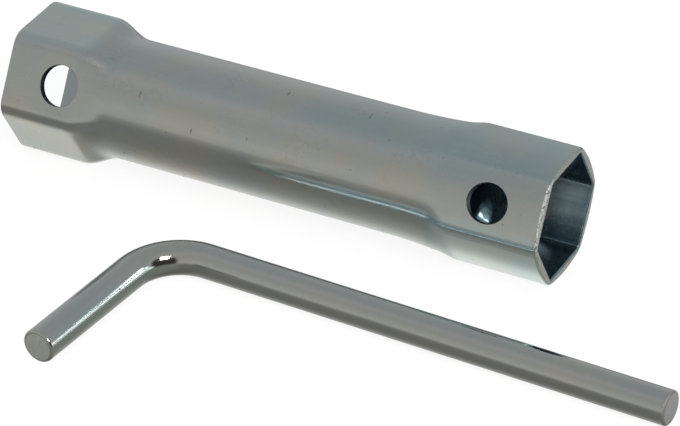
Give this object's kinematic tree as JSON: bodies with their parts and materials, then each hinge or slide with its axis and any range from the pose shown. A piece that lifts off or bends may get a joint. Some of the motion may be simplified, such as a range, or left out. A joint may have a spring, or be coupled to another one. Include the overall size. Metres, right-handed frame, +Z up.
{
  "type": "spark plug wrench",
  "caption": "Double-ended tube spanner for spark plugs, with a hexagon socket swaged into each end and cross holes for the loose bent tommy bar that turns it.",
  "frame": {"origin": "on the surface that both pieces lie on, under the middle of the box round them", "axes": "+X along the wrench from its large socket to its small one, +Y from the bar to the wrench, +Z up"},
  "size_m": [0.1362, 0.0752, 0.0238],
  "materials": {
    "tube_zinc": "bright zinc-plated steel tube, smooth and semi-gloss, with faint drawing marks along its length and small scuffs",
    "bar_zinc": "bright zinc-plated steel rod, smooth and semi-gloss, with sheared and rounded ends"
  },
  "bodies": {
    "wrench": {"wrench_tube": "tube_zinc"},
    "bar": {"tommy_bar": "bar_zinc"}
  },
  "joints": [
    {"name": "bar_lift", "type": "slide", "parent": "wrench", "child": "bar", "axis": [0, 0, 1], "range_m": [0, 0.06]}
  ]
}
